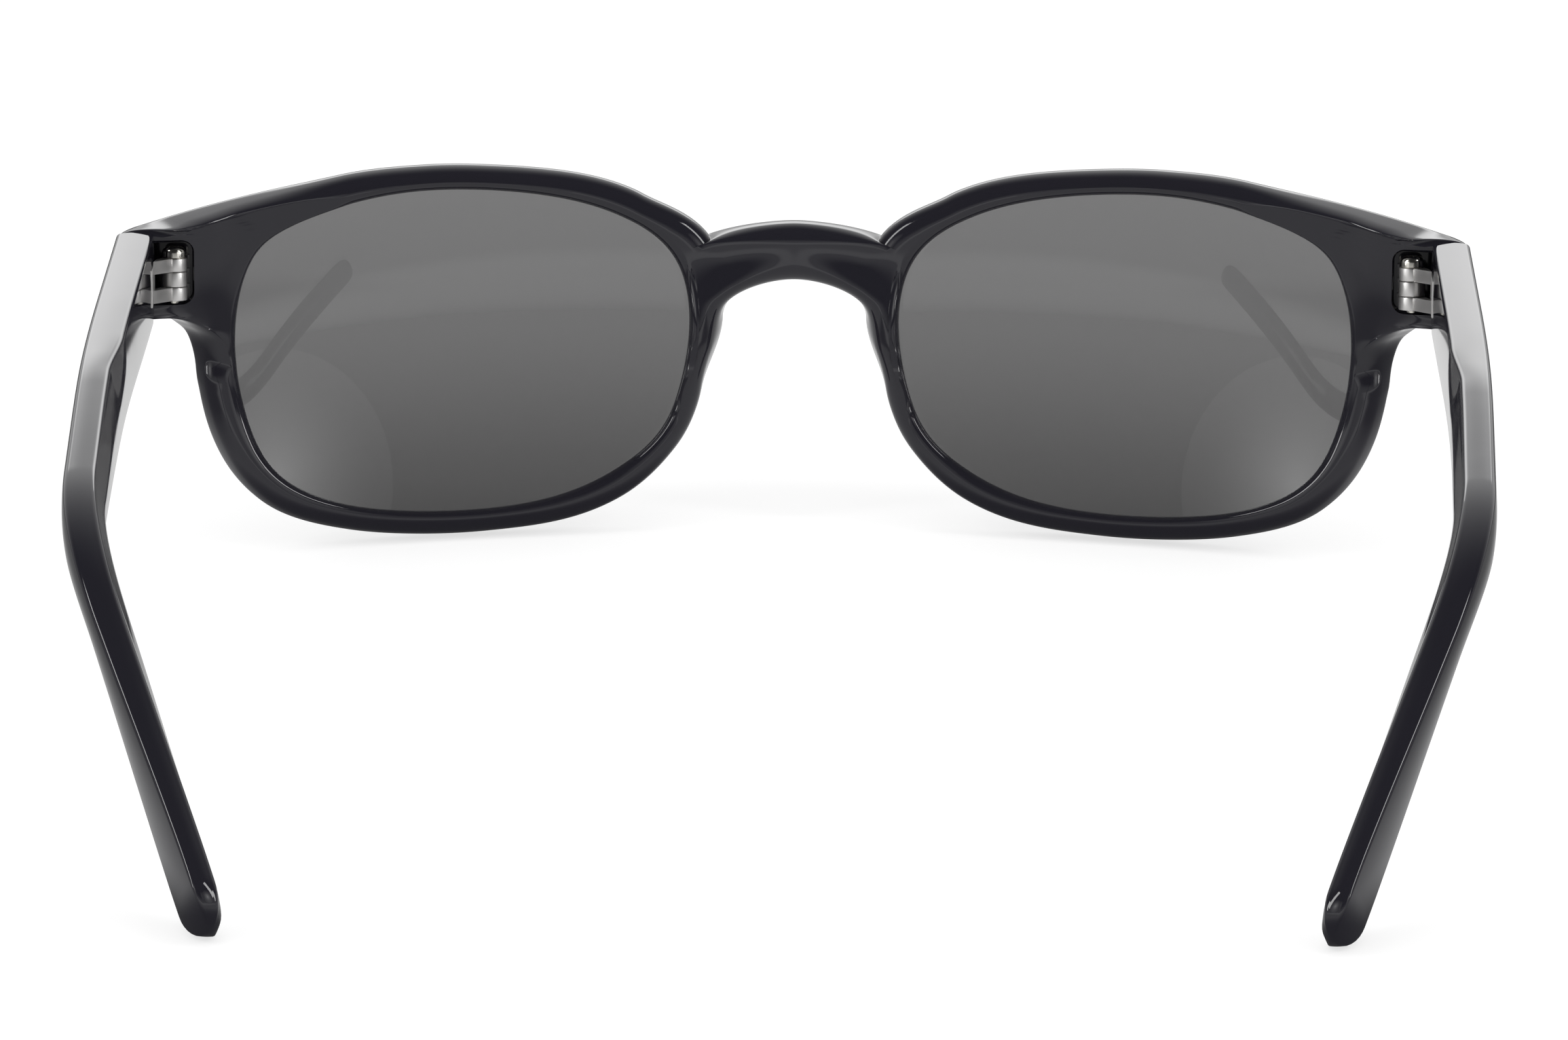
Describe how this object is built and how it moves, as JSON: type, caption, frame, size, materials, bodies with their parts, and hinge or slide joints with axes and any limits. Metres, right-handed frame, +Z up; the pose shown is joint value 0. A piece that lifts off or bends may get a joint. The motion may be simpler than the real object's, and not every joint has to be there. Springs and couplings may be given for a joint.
{
  "type": "motorcycle sunglasses",
  "caption": "Wraparound riding sunglasses with curved smoke lenses in a moulded front, and hooked temples that fold on three-barrel screw hinges.",
  "frame": {"origin": "on the table, under the middle of the outer box", "axes": "+X to the wearer's right, +Y the way the wearer looks, +Z up; the pair stands open on the bottoms of its rims and the tips of its temples"},
  "size_m": [0.1414, 0.1476, 0.0392],
  "materials": {
    "frame": "gloss",
    "lens": "smoke tint, gloss",
    "hinge": "satin"
  },
  "bodies": {
    "front": {"frame_front": "frame", "lens_left": "lens", "lens_right": "lens", "hinge_front_leaf_left": "hinge", "hinge_front_leaf_right": "hinge"},
    "temple_left": {"temple_left": "frame", "hinge_temple_leaf_left": "hinge", "hinge_screw_left": "hinge"},
    "temple_right": {"temple_right": "frame", "hinge_temple_leaf_right": "hinge", "hinge_screw_right": "hinge"}
  },
  "joints": [
    {"name": "temple_left_fold", "type": "hinge", "parent": "front", "child": "temple_left", "pos_m": [-0.0647, 0.05563, 0.03019], "axis": [0, 0.165, 0.9863], "range_deg": [0, 90]},
    {"name": "temple_right_fold", "type": "hinge", "parent": "front", "child": "temple_right", "pos_m": [0.0647, 0.05563, 0.03019], "axis": [0, -0.165, -0.9863], "range_deg": [0, 85]}
  ]
}
